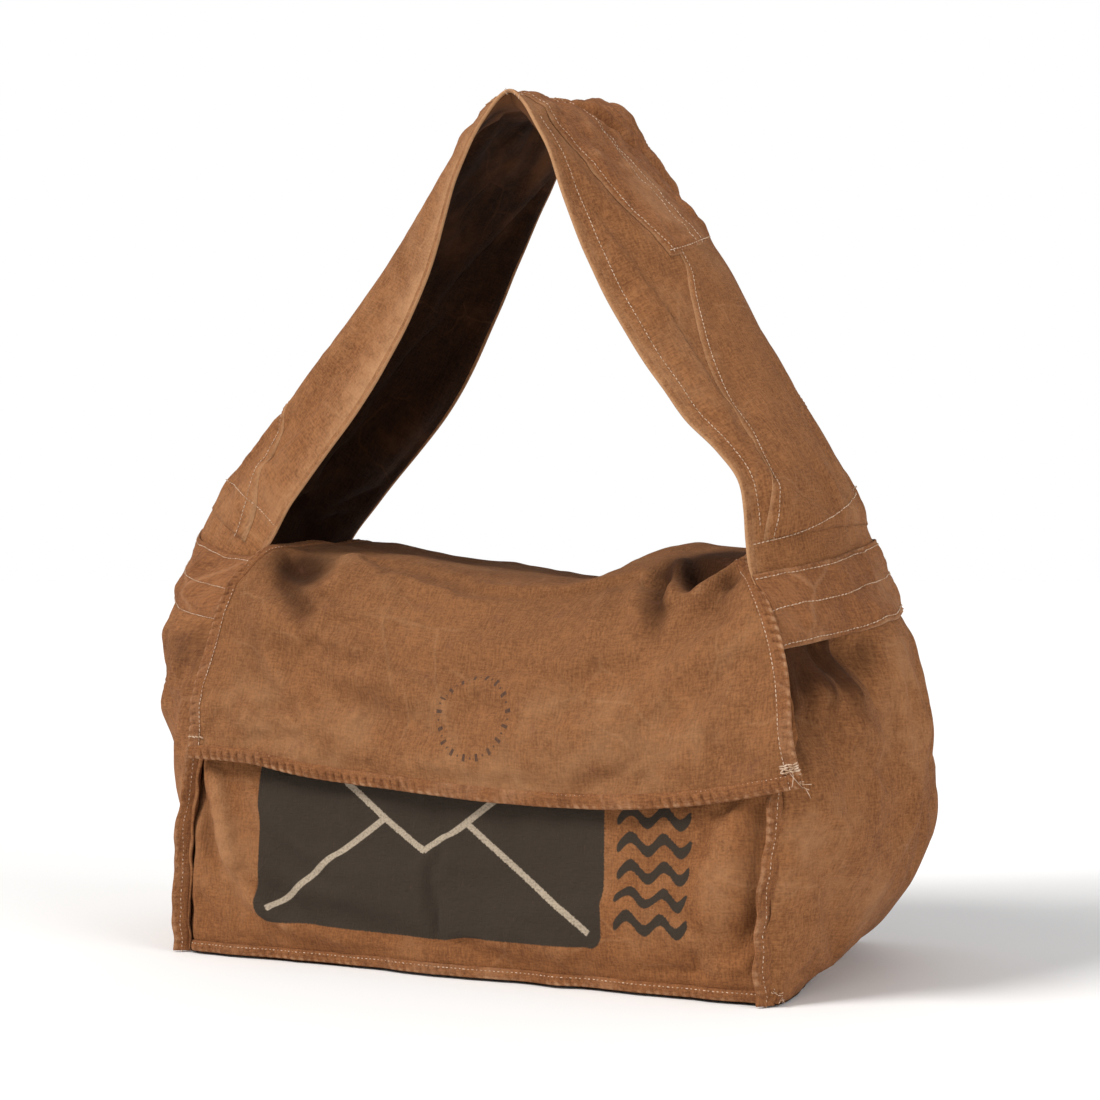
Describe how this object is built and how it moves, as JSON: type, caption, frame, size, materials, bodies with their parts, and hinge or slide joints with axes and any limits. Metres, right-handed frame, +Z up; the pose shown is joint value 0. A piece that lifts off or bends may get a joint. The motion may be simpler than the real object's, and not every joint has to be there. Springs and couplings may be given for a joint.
{
  "type": "mail sack",
  "caption": "Soft canvas shoulder sack for carrying mail or papers, with a box-shaped body, a cover flap and a wide padded shoulder strap.",
  "frame": {"origin": "on the floor below the middle of the sack", "axes": "+X to the right along the front panel, +Y to the back, +Z up towards the strap's ridge"},
  "size_m": [0.5996, 0.2898, 0.6641],
  "materials": {
    "canvas": "worn brown cotton canvas with a visible weave",
    "worn_edge_canvas": "brown canvas faded along hems and seams",
    "dark_canvas": "brown canvas that has not faded",
    "pad_canvas": "brown canvas, creased and rubbed",
    "thread": "pale cotton thread"
  },
  "bodies": {
    "bag": {"front_panel": "canvas", "back_panel": "canvas", "bottom_panel": "dark_canvas", "left_gusset": "canvas", "right_gusset": "canvas", "front_left_seam": "worn_edge_canvas", "front_right_seam": "worn_edge_canvas", "front_bottom_seam": "worn_edge_canvas", "back_left_seam": "worn_edge_canvas", "back_right_seam": "worn_edge_canvas", "back_bottom_seam": "worn_edge_canvas", "front_mouth_hem": "worn_edge_canvas", "left_band": "worn_edge_canvas", "right_band": "worn_edge_canvas", "left_strap_end": "canvas", "right_strap_end": "canvas"},
    "flap": {"flap_top": "canvas", "flap_top_left_hem": "worn_edge_canvas", "flap_top_right_hem": "worn_edge_canvas"},
    "fall": {"flap_fall": "canvas", "flap_left_hem": "worn_edge_canvas", "flap_right_hem": "worn_edge_canvas", "flap_bottom_hem": "worn_edge_canvas", "flap_corner_tacks": "thread"},
    "strap": {"shoulder_strap": "canvas", "left_strap_lining": "dark_canvas", "right_strap_lining": "dark_canvas", "left_strap_facing": "worn_edge_canvas", "right_strap_facing": "worn_edge_canvas", "shoulder_pad": "pad_canvas"}
  },
  "joints": [
    {"name": "flap_lift", "type": "hinge", "parent": "bag", "child": "flap", "pos_m": [0, 0.104, 0.297], "axis": [-1, 0, 0], "range_deg": [0, 225], "deforming": ["shoulder_strap", "left_strap_lining", "right_strap_lining", "left_strap_facing", "right_strap_facing", "shoulder_pad", "left_strap_end", "right_strap_end"]},
    {"name": "fall_fold", "type": "hinge", "parent": "flap", "child": "fall", "pos_m": [0, -0.08, 0.286], "axis": [-1, 0, 0], "range_deg": [0, 100]},
    {"name": "strap_swing", "type": "hinge", "parent": "bag", "child": "strap", "pos_m": [0, 0, 0.305], "axis": [1, 0, 0], "range_deg": [-30, 30]}
  ]
}
